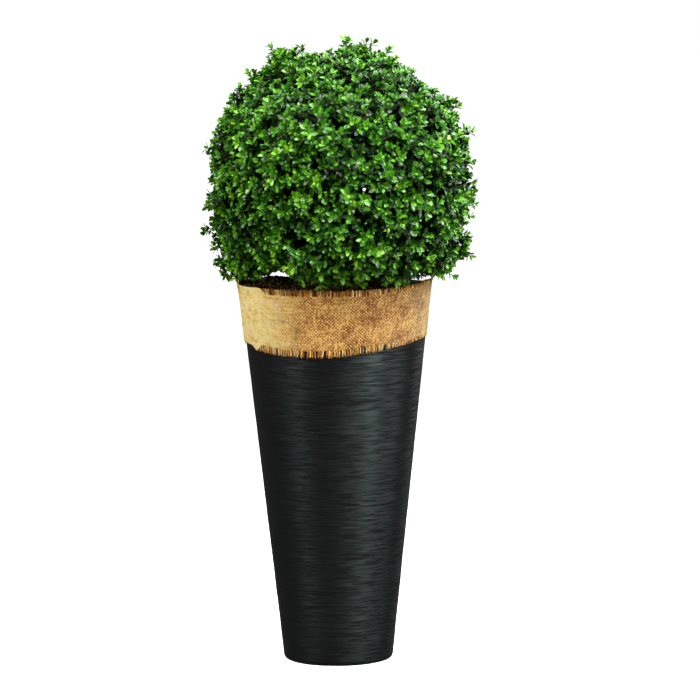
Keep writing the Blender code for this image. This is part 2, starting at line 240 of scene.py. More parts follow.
outside = planter.vertex_groups.new(name="outside")
combed = [v.index for v in planter.data.vertices
          if v.co.xy.length > planter_radius(v.co.z) - 0.002
          and FOOT_ROUNDING / 2 < v.co.z < PLANTER_HEIGHT - RIM_ROUNDING]
outside.add(combed, 1.0, "REPLACE")
for name, (length, pitch, depth) in RELIEFS.items():
    pattern = bpy.data.textures.new(name, "CLOUDS")
    pattern.noise_scale = 1.0
    pattern.noise_basis = "ORIGINAL_PERLIN"
    pattern.noise_depth = 1
    bpy.ops.object.empty_add()
    guide = bpy.context.object
    guide.scale = (length, length, pitch)
    relief = planter.modifiers.new(name, "DISPLACE")
    relief.texture = pattern
    relief.texture_coords = "OBJECT"
    relief.texture_coords_object = guide
    relief.vertex_group = "outside"
    relief.strength = depth
    bpy.context.view_layer.update()
    bpy.context.view_layer.objects.active = planter
    bpy.ops.object.modifier_apply(modifier=name)
    bpy.data.objects.remove(guide)
planter.vertex_groups.clear()
planter.select_set(True)
bpy.ops.object.shade_smooth_by_angle(angle=math.radians(40))

# Combed black resin: satin, each level ridge catching the tall lamp in a dash about 2 mm high and
# 57 mm long, so it reads as brushed. Smaller patches of duller polish break the highlight, which
# the combing draws out up and down.
STREAK_HEIGHT = 0.0014
STREAK_LENGTH = 0.040
resin, add_node, shader = new_finish("combed_black_resin", "100F11", 0.31, 1.84)
place = add_node("TexCoord").outputs["Object"]
stretched = add_node("Mapping", {
    "Vector": place, "Scale": (1 / STREAK_LENGTH, 1 / STREAK_LENGTH, 1 / STREAK_HEIGHT),
})
streaks, polish = [add_node("TexNoise", [stretched, scale, 1.0, 0.6]) for scale in (0.70, 0.95)]
feed(shader, {
    "Base Color": add_node("Mix", [streaks, "080707", "151112"], data_type="RGBA"),
    "Roughness": add_node("MapRange", [polish, 0.40, 0.60, 0.24, 0.40]),
    "Normal": add_node("Bump", {"Height": streaks, "Strength": 0.22, "Distance": 0.0008}),
    "Tangent": add_node("Tangent", direction_type="RADIAL", axis="Z"),
    # The specular tint is a painted reflection colour: it turns every reflection on the resin
    # green-grey.
    "Specular Tint": "E4FFFC",
    "Anisotropic": 0.75,
    "Anisotropic Rotation": 0.25,
})
planter.data.materials.append(resin)
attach(planter, "root")
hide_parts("planter")


# Soil
# A dark mix of peat and bark that fills the planter nearly to its rim and crowns a little at
# the middle. It was poured in loose, and crumbs of bark and moss lie on it.
SOIL_EDGE_DROP = 0.003
SOIL_CROWN_RISE = 0.005
SOIL_PAD_RADIUS = 0.026
SOIL_RINGS = 34
SOIL_STEPS = 160
SOIL_LUMP = 0.0060
SOIL_LUMP_SIZE = 0.012
CRUMBS = 2600
CRUMB_SIZES = (0.0012, 0.0042)
CRUMB_REACH = 0.985
# The crumbs' finishes: colour, roughness and share
CRUMB_KINDS = {
    "bark_crumb": ("907254", 0.9, 0.35),
    "peat_crumb": ("3E2E20", 0.95, 0.45),
    "moss_crumb": ("43501F", 0.95, 0.2),
}
PLANTER_GAP = 0.0005
# A heap against the wall at the back left: place, width and height
HEAP_PLACE = Vector((-0.125, 0.075))
HEAP_WIDTH = 0.07
HEAP_HEIGHT = 0.011

soil_edge = PLANTER_HEIGHT - SOIL_EDGE_DROP
soil_radius = planter_radius(soil_edge) - PLANTER_WALL - PLANTER_GAP


def soil_height(x, y):
    outward = max(0.0, math.hypot(x, y) - SOIL_PAD_RADIUS) / (soil_radius - SOIL_PAD_RADIUS)
    crown = SOIL_CROWN_RISE * (1 + math.cos(math.pi * min(outward, 1.0))) / 2
    from_heap = (Vector((x, y)) - HEAP_PLACE).length / HEAP_WIDTH
    return soil_edge + crown + HEAP_HEIGHT * min(outward * 2, 1.0) * math.exp(-from_heap**2)


bpy.ops.mesh.primitive_circle_add(
    vertices=SOIL_STEPS, radius=soil_radius, fill_type="NGON", location=(0, 0, soil_edge)
)
soil = start_editing("soil_mix", "FACE")
bpy.ops.mesh.select_all(action="SELECT")
for _ in range(SOIL_RINGS):
    bpy.ops.mesh.inset(thickness=soil_radius / (SOIL_RINGS + 2))
bpy.ops.mesh.poke()
bpy.ops.mesh.select_mode(type="EDGE")
select_where(soil, "edges", lambda a, b: min(a.xy.length, b.xy.length) > soil_radius - HAIR)
bpy.ops.mesh.extrude_region_move(
    TRANSFORM_OT_translate={"value": (0, 0, PLANTER_FLOOR + PLANTER_GAP - soil_edge)}
)
soil_foot = (planter_radius(PLANTER_FLOOR) - PLANTER_WALL - PLANTER_GAP) / soil_radius
bpy.ops.transform.resize(value=(soil_foot, soil_foot, 1))
bpy.ops.mesh.edge_face_add()
bpy.ops.mesh.select_all(action="SELECT")
bpy.ops.mesh.normals_make_consistent()
bpy.ops.object.mode_set(mode="OBJECT")
for corner in soil.data.vertices:
    if corner.co.z > soil_edge - 0.001:
        corner.co.z = soil_height(corner.co.x, corner.co.y)
        if SOIL_PAD_RADIUS < corner.co.xy.length < soil_radius - HAIR:
            coarse = noise.noise(corner.co / SOIL_LUMP_SIZE)
            fine = noise.noise(corner.co / SOIL_LUMP_SIZE * 3.1)
            corner.co.z += SOIL_LUMP * (0.6 * coarse + 0.4 * fine)
bpy.ops.object.shade_smooth_by_angle(angle=math.radians(60))

# Potting mix: damp and matt, near black with brown bark in it.
GRAIN_SIZE = 0.004
mix, add_node, shader = new_finish("damp_potting_mix", "3A2D20", 0.92)
place = add_node("TexCoord").outputs["Object"]
grains = add_node("TexNoise", [place, 1 / GRAIN_SIZE, 3.0])
patches = add_node("MapRange", [grains, 0.4, 0.7])
feed(shader, {
    "Base Color": add_node("Mix", [patches, "4A392B", "A0846A"], data_type="RGBA"),
    "Normal": add_node("Bump", {"Height": grains, "Strength": 0.7, "Distance": 0.0015}),
})
soil.data.materials.append(mix)
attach(soil, "root")
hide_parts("soil")


def joined_piece(name, corners, faces, finishes, tints=None, smooth=True):
    """One object of many like shapes: a row of corners each, and a number of its finish."""
    count, each, _ = corners.shape
    every = [[corner + first for corner in face] for first in range(0, count * each, each)
             for face in faces]
    mesh = bpy.data.meshes.new(name)
    mesh.from_pydata(corners.reshape(-1, 3).tolist(), [], every)
    for finish in finishes:
        mesh.materials.append(finish)
    if tints is not None:
        mesh.polygons.foreach_set("material_index", np.repeat(tints, len(faces)).astype(np.int32))
    mesh.polygons.foreach_set("use_smooth", np.full(len(every), smooth))
    mesh.update()
    piece = bpy.data.objects.new(name, mesh)
    bpy.context.scene.collection.objects.link(piece)
    return piece


def unit(vectors):
    return vectors / np.maximum(np.linalg.norm(vectors, axis=-1, keepdims=True), 1e-9)


def turned_to(along, facing):
    """Unit vectors along, sideways and up, for shapes that point along and face up."""
    along = unit(along)
    side = unit(np.cross(facing, along))
    return along, side, np.cross(along, side)


def copies(models, places, along, facing, sizes):
    """Corners of model shapes set at many places. sizes are length, width and height."""
    axes = np.stack(turned_to(along, facing), axis=1) * sizes[:, :, None]
    return places[:, None, :] + np.einsum("nvk,nkc->nvc", models, axes)


def model_arrays(piece):
    """A modelled piece's corners and faces as arrays. The piece itself is then removed."""
    corners = np.array([v.co[:] for v in piece.data.vertices])
    faces = [list(face.vertices) for face in piece.data.polygons]
    bpy.data.objects.remove(piece)
    return corners, faces


# Crumbs of bark and moss: small broken lumps spread evenly over the soil.
bpy.ops.mesh.primitive_ico_sphere_add(subdivisions=1, radius=1.0)
crumb_corners, crumb_faces = model_arrays(bpy.context.object)
dealt = np.random.default_rng(21)
radii = soil_radius * CRUMB_REACH * np.sqrt(dealt.uniform(0.03, 1.0, CRUMBS))
turns = dealt.uniform(0, 2 * math.pi, CRUMBS)
places = np.stack([radii * np.cos(turns), radii * np.sin(turns), np.zeros(CRUMBS)], axis=1)
places[:, 2] = [soil_height(x, y) + SOIL_LUMP * 0.1 for x, y in places[:, :2]]
shapes = crumb_corners[None] * (1 + dealt.uniform(-0.3, 0.3, (CRUMBS, len(crumb_corners), 1)))
sizes = dealt.uniform(*CRUMB_SIZES, (CRUMBS, 1)) * dealt.uniform(0.5, 1.0, (CRUMBS, 3))
along = dealt.normal(size=(CRUMBS, 3))
corners = copies(shapes, places, along, dealt.normal(size=(CRUMBS, 3)), sizes)
crumb_finishes = [new_finish(name, *kind[:2])[0] for name, kind in CRUMB_KINDS.items()]
kinds = dealt.choice(3, CRUMBS, p=[share for _, _, share in CRUMB_KINDS.values()])
crumbs = joined_piece("soil_crumbs", corners, crumb_faces, crumb_finishes, kinds, smooth=False)
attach(crumbs, "root")


# Burlap band
# A strip of natural jute burlap, drawn tight round the planter's top. It overlaps at the left,
# where both its edges are turned in. Along the rest of them threads are pulled out to a fringe.
THREAD_PITCH = 0.0030
BAND_START = -104.0
BAND_SPAN = 376.0
BAND_GAP = 0.0004
BAND_THICKNESS = 0.0011
BAND_MIDDLE = 0.64
WEAVE_RELIEF = 0.00028
SLACK = 0.0010
# Where it steps down off its own end, and where its looser outer end grows tight
STEPS_DOWN = (BAND_START + 14, BAND_START + 26)
GROWS_TIGHT = (-80, -45)
# The outer end's top corner stands off: bearing and width in degrees, and metres
CORNER_BEARING = -92.0
CORNER_WIDTH = 17.0
CORNER_FLARE = 0.0020
CORNER_HEIGHTS = (0.672, 0.702)
TOP_FRINGE = 0.0105
BOTTOM_FRINGE = 0.0125
# Its edges are turned in: the top one at both of its ends, the lower one at its outer end
HEM_RISE = 0.0075
TOP_HEM_ENDS = -51.0
TOP_HEM_STARTS = 236.0
BOTTOM_HEM_ENDS = -60.0
HEM_STEP = 7.0
WOVEN_HEIGHT = 0.100
# The fringe is worn shorter at the right: by how much, and where that comes and goes
WORN_RIGHT = 0.55
WORN_FROM = (18, 55)
WORN_TO = (100, 140)
# Heights of its edges at bearings in degrees, 0 at the front and growing to the right
BAND_TOP = ((0, 0.694), (25, 0.695), (50, 0.698), (75, 0.703), (95, 0.700), (120, 0.690),
            (150, 0.6875), (210, 0.6875), (238, 0.690), (248, 0.6975), (260, 0.7020),
            (272, 0.6965), (310, 0.695))
BAND_BOTTOM = ((0, 0.573), (22, 0.580), (45, 0.588), (70, 0.596), (100, 0.598), (150, 0.596),
               (210, 0.590), (270, 0.583), (300, 0.579), (325, 0.573))


def edge_height(points, degrees):
    """Height of a closed edge at bearings, on a smooth curve through its points."""
    bearings, heights = np.array(points, float).T
    bearings = np.concatenate([bearings - 360, bearings, bearings + 360])
    heights = np.tile(heights, 3)
    slopes = np.gradient(heights, bearings)
    degrees = np.mod(degrees, 360)
    after = np.searchsorted(bearings, degrees, side="right")
    before = after - 1
    span = bearings[after] - bearings[before]
    share = (degrees - bearings[before]) / span
    rise = heights[after] - heights[before]
    first = slopes[before] * span
    last = slopes[after] * span
    cubed = first + last - 2 * rise
    squared = 3 * rise - 2 * first - last
    return heights[before] + ((cubed * share + squared) * share + first) * share


def eased(value, low, high):
    share = np.clip((value - low) / (high - low), 0, 1)
    return share * share * (3 - 2 * share)


def hump(value, middle, width):
    return np.exp(-(((value - middle) / width) ** 2))


def woven_edges(degrees):
    """Heights of the lowest and highest thread that runs round the band."""
    turned_in, loose_below, hem_ended, hem_started = [
        eased(degrees, start, start + HEM_STEP)
        for start in (BOTTOM_HEM_ENDS - HEM_STEP, BOTTOM_HEM_ENDS, TOP_HEM_ENDS, TOP_HEM_STARTS)
    ]
    unworn = 1 - WORN_RIGHT * (eased(degrees, *WORN_FROM) - eased(degrees, *WORN_TO))
    low = edge_height(BAND_BOTTOM, degrees) + HEM_RISE * (1 - turned_in)
    high = edge_height(BAND_TOP, degrees)
    return (low + BOTTOM_FRINGE * (loose_below * unworn),
            high - TOP_FRINGE * ((hem_ended - hem_started) * unworn))


def band_surface(degrees, heights, proud=0.0):
    """Points on the band, which overlaps its own end and bellies out a little."""
    overlap = 1 - eased(degrees, *STEPS_DOWN)
    radii = planter_radius(heights) + BAND_GAP + overlap * (BAND_THICKNESS + BAND_GAP) + proud
    turn = np.radians(degrees)
    slack = np.array([
        noise.noise(Vector((math.cos(t) * 2.2, math.sin(t) * 2.2, h * 14)))
        for t, h in zip(turn.ravel(), heights.ravel())
    ]).reshape(turn.shape)
    loose = 2 - eased(degrees, *GROWS_TIGHT)
    radii = radii + SLACK * loose * np.maximum(slack + 0.15, 0)
    corner = hump(degrees, CORNER_BEARING, CORNER_WIDTH)
    radii = radii + CORNER_FLARE * corner * eased(heights, *CORNER_HEIGHTS)
    return np.stack([radii * np.sin(turn), -radii * np.cos(turn), heights], axis=-1)


girth = 2 * math.pi * planter_radius(BAND_MIDDLE) * BAND_SPAN / 360
warp_threads = round(girth / THREAD_PITCH)
weft_threads = round(WOVEN_HEIGHT / THREAD_PITCH)
bpy.ops.mesh.primitive_grid_add(x_subdivisions=warp_threads, y_subdivisions=weft_threads, size=1.0)
burlap = bpy.context.object
burlap.name = "burlap_strip"
row, column = np.divmod(np.arange(len(burlap.data.vertices)), warp_threads + 1)
degrees = BAND_START + BAND_SPAN * column / warp_threads
low, high = woven_edges(degrees)
heights = low + (high - low) * row / weft_threads
dealt = np.random.default_rng(31)
relief = np.where((column + row) % 2 == 0, 1.0, -1.0)
relief += dealt.uniform(-0.3, 0.3, warp_threads + 1)[column]
relief += dealt.uniform(-0.5, 0.5, weft_threads + 1)[row]
points = band_surface(degrees, heights, WEAVE_RELIEF * relief)
burlap.data.vertices.foreach_set("co", points.ravel())
threads = burlap.data.uv_layers.active
threads.name = "threads"
corner_of = np.empty(len(burlap.data.loops), np.int32)
burlap.data.loops.foreach_get("vertex_index", corner_of)
counted = np.stack([column, row], axis=1)[corner_of]
threads.data.foreach_set("uv", counted.astype(float).ravel())
burlap.data.update()
thicken = burlap.modifiers.new("cloth", "SOLIDIFY")
thicken.thickness = BAND_THICKNESS
thicken.offset = 1.0
bpy.ops.object.shade_smooth()
bpy.ops.object.modifier_apply(modifier="cloth")

# Natural jute: dull golden fibre that browns in patches with damp and fades where it overlaps.
# Threads that pass over are light, while the sunk crossings and the gaps between threads are
# painted brown and dark as shade, so it looks speckled. Each is 3 mm wide, coarser than real, so
# that the weave shows at the picture's size.
STAIN_SIZE = 0.036
DAMP_PLACE = (0.075, -0.16, 0.676)
DAMP_REACH = 0.080
WASH_SIZE = 0.014
WASH_TONES = ((0.30, "C79A48"), (0.46, "E6D485"), (0.60, "EBDB97"), (0.70, "F0E2BE"))
# Where it has faded: two ramps each, from one bearing to another
LEFT_FADE = ((-13.0, -58.0), (-150.0, -110.0))
END_FADE = ((205.0, 240.0), (400.0, 380.0))
RIGHT_FADE = ((46.0, 66.0), (126.0, 92.0))
LEFT_STRENGTH = 0.80
RIGHT_STRENGTH = 0.12
# Where the brown threads thin out: the same, round each faded stretch
LEFT_THINNED = ((0.0, -44.0), (-150.0, -110.0))
RIGHT_THINNED = ((54.0, 76.0), (150.0, 96.0))
THINNED = 0.35
THINNED_AT_RIGHT = 0.4
jute, add_node, shader = new_finish("natural_jute_burlap", "B98A4C", 0.93)
uv = add_node("UVMap", uv_map="threads")
place = add_node("TexCoord").outputs["Object"]
parts = add_node("SeparateXYZ", [uv])


def thread_round(number):
    """How high a thread stands, from 0 between threads to 1 on its middle."""
    turn = add_node("Math", [number, math.pi], operation="MULTIPLY")
    wave = add_node("Math", [turn], operation="COSINE")
    return add_node("Math", [wave], operation="ABSOLUTE")


def faded(*ramps):
    """How faded the cloth is between two ramps, each from one bearing to another."""
    shares = []
    for bearings in ramps:
        columns = [(bearing - BAND_START) / BAND_SPAN * warp_threads for bearing in bearings]
        shares.append(add_node("MapRange", [parts.outputs["X"], *columns],
                               interpolation_type="SMOOTHSTEP"))
    return add_node("Math", shares, operation="MULTIPLY")


# The weave: which thread lies on top at each crossing, and the shade of each thread
warp_round = thread_round(parts.outputs["X"])
weft_round = thread_round(parts.outputs["Y"])
half_over = add_node("Mapping", {"Vector": uv, "Location": (0.5, 0.5, 0.5)})
crossing = add_node("TexChecker", {"Vector": half_over, "Scale": 1.0}).outputs["Fac"]
along_warp = add_node("Mapping", {"Vector": uv, "Scale": (1.0, 0.14, 1.0)})
along_weft = add_node("Mapping", {
    "Vector": uv, "Scale": (0.06, 1.0, 1.0), "Location": (7.0, 3.0, 0.0),
})
warp_shade = add_node("TexNoise", [along_warp, 0.9, 2.0])
weft_shade = add_node("TexNoise", [along_weft, 0.9, 2.0])
top_thread = add_node("Mix", [crossing, warp_round, weft_round])
top_shade = add_node("Mix", [crossing, warp_shade, weft_shade])
# The gaps between threads are painted dark brown as shade.
pit = add_node("Math", [warp_round, weft_round], operation="MAXIMUM")
painted_gap_shade = add_node("MapRange", [pit, 0.05, 0.75, 0.25, 1.0])
thread_tone = add_node("MapRange", [top_shade, 0.3, 0.7])
over_tone = add_node("Mix", [thread_tone, "B47A2C", "E0B86E"], data_type="RGBA")
# The browner tone goes on the sunk crossings: painted shade, over each thread's own tone.
sunk_shade_tone = add_node("Mix", [thread_tone, "623008", "8A5414"], data_type="RGBA")

# The browning: stains and damp, each crossing's own shade, and less of it where it has faded
stains = add_node("TexNoise", [place, 1 / STAIN_SIZE, 3.0, 0.6])
from_damp = add_node("VectorMath", [place, DAMP_PLACE], operation="DISTANCE")
dampness = add_node("MapRange", [from_damp, DAMP_REACH, 0.0, 0.0, 0.16])
stained = add_node("Math", [stains, dampness], operation="ADD")
darker = add_node("MapRange", [stained, 0.35, 0.72, -0.36, 0.66])
this_crossing = add_node("VectorMath", [half_over], operation="FLOOR")
own_shade = add_node("TexWhiteNoise", [this_crossing])
uneven = add_node("MapRange", [own_shade, 0.0, 1.0, -0.55, 0.55])
end_fade = faded(*END_FADE)
either = add_node("Math", [
    faded(*RIGHT_THINNED), THINNED_AT_RIGHT, faded(*LEFT_THINNED),
], operation="MULTIPLY_ADD")
thinned = add_node("Math", [either, end_fade], operation="ADD", use_clamp=True)
by_thread = add_node("MapRange", [top_shade, 0.3, 0.7, 0.22, -0.22])
patchy = add_node("Math", [uneven, by_thread], operation="ADD")
less_brown = add_node("Math", [thinned, -THINNED, patchy], operation="MULTIPLY_ADD")
browning = add_node("Math", [darker, less_brown], operation="ADD")
# Sunk crossings lean to the brown tone as painted shade. Stains, damp and each crossing's own tone
# push it either way.
sunk_crossing_shade = add_node("MapRange", [crossing, 0.0, 1.0, 0.14, 0.86])
shade_and_browning = add_node("Math", [sunk_crossing_shade, browning], operation="ADD", use_clamp=True)
golden = add_node("Mix", [shade_and_browning, over_tone, sunk_shade_tone], data_type="RGBA")

# The fading: a pale wash in streaks along the threads, over the faded stretches
washed = add_node("TexNoise", [place, 1 / WASH_SIZE, 3.0, 0.7])
streaked = add_node("Math", [weft_shade, 0.6, washed], operation="MULTIPLY_ADD")
wash_share = add_node("Math", [streaked, 0.3], operation="SUBTRACT")
wash_tone = add_node("ValToRGB", [wash_share])
stops = wash_tone.color_ramp.elements
for number, (position, colour) in enumerate(WASH_TONES):
    stop = stops[number] if number < 2 else stops.new(position)
    stop.position = position
    stop.color = linear(colour)
at_overlap = add_node("Math", [faded(*LEFT_FADE), end_fade], operation="ADD", use_clamp=True)
fade = add_node("Math", [at_overlap, LEFT_STRENGTH], operation="MULTIPLY")
more_fade = add_node("Math", [
    faded(*RIGHT_FADE), RIGHT_STRENGTH, fade,
], operation="MULTIPLY_ADD")
paled = add_node("Mix", [more_fade, golden, wash_tone], data_type="RGBA")
# The base colour darkens towards 5A3416 in the gaps between threads: painted shade.
feed(shader, {
    "Base Color": add_node("Mix", [painted_gap_shade, "5A3416", paled], data_type="RGBA"),
    "Normal": add_node("Bump", {"Height": top_thread, "Strength": 0.8, "Distance": 0.0007}),
    "Sheen Weight": 0.15,
    "Sheen Roughness": 0.5,
})
burlap.data.materials.append(jute)


def tubes(paths, radii, sides):
    """Corners and faces of closed tubes, one through each row of points."""
    count, steps, _ = paths.shape
    ahead = unit(np.gradient(paths, axis=1))
    chord = paths[:, -1] - paths[:, 0]
    least = np.argmin(np.abs(chord), axis=1)
    across = np.cross(chord, np.eye(3)[least])[:, None, :]
    side = unit(np.cross(ahead, np.cross(across, ahead)))
    up = np.cross(ahead, side)
    turns = 2 * math.pi * np.arange(sides) / sides
    ring = side[:, :, None] * np.cos(turns)[:, None] + up[:, :, None] * np.sin(turns)[:, None]
    corners = paths[:, :, None] + ring * radii[:, :, None, None]
    faces = []
    for first in range(0, (steps - 1) * sides, sides):
        for near in range(sides):
            after = (near + 1) % sides
            faces.append([first + near, first + after, first + sides + after, first + sides + near])
    faces.append(list(range(sides))[::-1])
    faces.append(list(range((steps - 1) * sides, steps * sides)))
    return corners.reshape(count, -1, 3), faces


# Fringe: the warp threads past the last weft, uneven and leaning in pairs, with finer fibres.
FRINGE_POINTS = 6
THREAD_RADIUS = 0.00086
FIBRE_RADIUS = 0.00040
FRINGE_ROOT = 0.0015
THREAD_LENGTHS = (0.86, 1.08)
THREAD_SWAY = 0.0006
THREAD_WAVE = 0.0004
THREAD_LIFT = 0.0016
THREAD_THINS = 0.45
PAIR_LEAN = 0.13
# Worn-away threads stand together: how many, and the noise that loses them at each edge
LOST_CLUSTER = 2.3
LOST_ABOVE = 0.50
LOST_BELOW = 0.25
THREAD_TINTS = {
    "jute_thread_pale": "ECCB86", "jute_thread_gold": "C6862E", "jute_thread_brown": "7A3E0E",
}
# Shares of the three tints. The top fringe, in the crown's shade, gets more brown and fewer pale
# threads than the lower one, and that difference is painted shade.
TOP_SHARES = (0.14, 0.50, 0.36)
LOW_SHARES = (0.38, 0.36, 0.26)


def fringe_paths(upward):
    """Points of the loose threads along one edge, and how thick each is."""
    numbers = np.arange(warp_threads, dtype=float)
    numbers = np.concatenate([numbers, numbers + 0.5])
    fine = np.arange(len(numbers)) >= warp_threads
    numbers[fine] += dealt.uniform(-0.4, 0.4, fine.sum())
    degrees = BAND_START + BAND_SPAN * numbers / warp_threads
    first, last, most_lost, edge = (
        (TOP_HEM_ENDS, TOP_HEM_STARTS, LOST_ABOVE, BAND_TOP) if upward else
        (BOTTOM_HEM_ENDS, BAND_START + BAND_SPAN, LOST_BELOW, BAND_BOTTOM)
    )
    lost = np.array([noise.noise(Vector((number / LOST_CLUSTER, 5.0, 0.0))) for number in numbers])
    shown = (degrees > first + 1) & (degrees < last) & (lost < most_lost)
    degrees, fine, numbers = degrees[shown], fine[shown], numbers[shown]
    count = len(degrees)
    low, high = woven_edges(degrees)
    share = np.linspace(0, 1, FRINGE_POINTS)[None]
    start = high - FRINGE_ROOT if upward else low + FRINGE_ROOT
    long = (edge_height(edge, degrees) - start) * dealt.uniform(*THREAD_LENGTHS, count)
    heights = start[:, None] + share * long[:, None]
    pair = np.where(np.floor(numbers) % 2 == 0, 1.0, -1.0) * THREAD_PITCH * PAIR_LEAN
    sway = pair + dealt.normal(0, THREAD_SWAY, count)
    wave = dealt.uniform(0, 2 * math.pi, count)[:, None]
    sideways = sway[:, None] * share**1.5 + THREAD_WAVE * np.sin(wave + share * 7)
    bearings = degrees[:, None] + np.degrees(sideways / PLANTER_TOP_RADIUS)
    lift = dealt.uniform(0.0, THREAD_LIFT, count)[:, None] * share**2
    points = band_surface(bearings, heights, BAND_THICKNESS * 0.5 + lift)
    thick = np.where(fine, FIBRE_RADIUS, THREAD_RADIUS)[:, None] * (1 - THREAD_THINS * share)
    return points, thick * dealt.uniform(0.8, 1.2, count)[:, None]


dealt = np.random.default_rng(41)
top_paths, top_thick = fringe_paths(True)
low_paths, low_thick = fringe_paths(False)
corners, faces = tubes(
    np.concatenate([top_paths, low_paths]), np.concatenate([top_thick, low_thick]), 4
)
thread_finishes = [new_finish(name, colour, 0.9)[0] for name, colour in THREAD_TINTS.items()]
kinds = np.concatenate([
    dealt.choice(3, len(top_paths), p=TOP_SHARES), dealt.choice(3, len(low_paths), p=LOW_SHARES),
])
fringe = joined_piece("burlap_fringe", corners, faces, thread_finishes, kinds)
for piece in (burlap, fringe):
    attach(piece, "root")
    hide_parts("burlap_band")


# Stem
# The short trunk of the box plant. It flares where its roots spread, tapers and leans a little
# towards the ball's middle. Its bark is grey-brown and cracked into small corky plates.
STEM_GAP = 0.0003
STEM_FOOT = PLANTER_HEIGHT - SOIL_EDGE_DROP + SOIL_CROWN_RISE + STEM_GAP
STEM_TOP = 0.800
STEM_TOP_RADIUS = 0.0085
STEM_FLARE_RADIUS = 0.0200
STEM_FLARE_HEIGHT = 0.022
STEM_TAPER = 0.35
ROOT_LOBES = 4
ROOT_LOBE_DEPTH = 0.16
STEM_SIDES = 72
STEM_CUTS = 90
BARK_DEPTH = 0.0011
BARK_PLATE = 0.004
CROWN_CENTRE = Vector((0.011, 0.0, 0.882))


def stem_axis(height):
    share = (height - STEM_FOOT) / (CROWN_CENTRE.z - STEM_FOOT)
    return Vector((CROWN_CENTRE.x * share, CROWN_CENTRE.y * share, height))


def stem_radius(height):
    share = (height - STEM_FOOT) / (STEM_TOP - STEM_FOOT)
    plain = STEM_TOP_RADIUS * (1 + STEM_TAPER * (1 - share))
    flare = math.exp(-2 * (max(height - STEM_FOOT, 0) / STEM_FLARE_HEIGHT) ** 1.5)
    return plain + (STEM_FLARE_RADIUS - STEM_TOP_RADIUS * (1 + STEM_TAPER)) * flare


bpy.ops.mesh.primitive_cylinder_add(
    vertices=STEM_SIDES, radius=1.0, depth=STEM_TOP - STEM_FOOT,
    end_fill_type="TRIFAN", location=(0, 0, (STEM_TOP + STEM_FOOT) / 2),
)
stem = start_editing("stem_bark", "EDGE")
select_where(stem, "edges", lambda a, b: abs(a.z - b.z) > 0.05)
bpy.ops.mesh.subdivide(number_cuts=STEM_CUTS)
bpy.ops.object.mode_set(mode="OBJECT")
for corner in stem.data.vertices:
    turn = math.atan2(corner.co.y, corner.co.x)
    outward = corner.co.xy.length
    height = corner.co.z
    share = (height - STEM_FOOT) / (STEM_TOP - STEM_FOOT)
    middle = stem_axis(height)
    radius = stem_radius(height)
    lobes = ROOT_LOBE_DEPTH * (1 - share) ** 3 * math.cos(ROOT_LOBES * turn)
    place = Vector((math.cos(turn) * radius, math.sin(turn) * radius, height * 0.45))
    plates = abs(noise.noise(place / BARK_PLATE)) + 0.5 * abs(noise.noise(place / BARK_PLATE * 2.3))
    spread = (radius * (1 + lobes) - BARK_DEPTH * (1 - min(plates * 1.6, 1))) * outward
    corner.co = (middle.x + math.cos(turn) * spread, middle.y + math.sin(turn) * spread, height)
bpy.ops.object.shade_smooth_by_angle(angle=math.radians(50))

# Box bark: pale grey-brown corky ridges with darker cracks, quite matt.
bark, add_node, shader = new_finish("grey_box_bark", "8A7558", 0.88)
place = add_node("TexCoord").outputs["Object"]
lengthwise = add_node("Mapping", {
    "Vector": place, "Scale": (1 / BARK_PLATE, 1 / BARK_PLATE, 0.4 / BARK_PLATE),
})
cracks = add_node("TexNoise", [lengthwise, 1.0, 4.0])
depth = add_node("MapRange", [cracks, 0.35, 0.65])
feed(shader, {
    "Base Color": add_node("Mix", [depth, "3E3022", "93805F"], data_type="RGBA"),
    "Normal": add_node("Bump", {"Height": cracks, "Strength": 0.6, "Distance": 0.001}),
})
stem.data.materials.append(bark)
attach(stem, "root")
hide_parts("stem")


# Crown: boughs and branches
# Inside the ball the stem runs on to its middle and divides into nine boughs. Each bears branches
# that reach for the clipped surface. They are woody and dark, and show only in the gaps.
CROWN_RADIUS = 0.255
SQUARENESS = 0.009
LOWER_FULLNESS = 0.012
FULLEST_SLOPE = -0.52
FULL_WIDTH = 0.22
CORNER_POWER = 20
LEAST_SLOPE = 0.001
CROWN_UNDERSIDE = 0.701
# Where the underside is higher: bearing and width in degrees, and height
UNDERSIDE_RISES = ((-27, 9, 0.024), (-60, 18, 0.009), (68, 9, 0.008), (180, 60, 0.006))
LUMPS = 26
LUMP_HEIGHT = 0.011
LUMP_SHARPNESS = 9.0
CROWN_SEED = 11
CORE_LIFT = 0.018
BRANCHES = 102
BRANCH_RADII = (0.0030, 0.0015)
TIP_INSET = 0.036
TIP_SWAY = 0.004
DIRECTION_SWAY = 0.05
OUTWARD_PULL = 1.6
LOWEST_SLOPE = -0.30
BOUGHS = 9
BOUGH_RADII = (0.0062, 0.0036)
BOUGH_SHARE = 0.45
LIMB_POINTS = 7
GOLDEN_ANGLE = math.pi * (3 - math.sqrt(5))
centre = np.array(CROWN_CENTRE)


def spiral(count):
    """Directions spread evenly over a sphere."""
    index = np.arange(count)
    height = 1 - (2 * index + 1) / count
    across = np.sqrt(1 - height**2)
    turn = index * GOLDEN_ANGLE
    return np.stack([across * np.cos(turn), across * np.sin(turn), height], axis=1)


def underside(directions):
    """Height of the crown's flat underside, which is higher at the left and right sides."""
    bearings = np.degrees(np.arctan2(directions[..., 0], -directions[..., 1]))
    rise = np.zeros(bearings.shape)
    for middle, width, height in UNDERSIDE_RISES:
        rise += height * hump((bearings - middle + 180) % 360 - 180, 0, width)
    return CROWN_UNDERSIDE + rise


lump_chance = random.Random(CROWN_SEED)
lump_places = spiral(LUMPS)
lump_heights = np.array([lump_chance.uniform(-1, 1) * LUMP_HEIGHT for _ in range(LUMPS)])


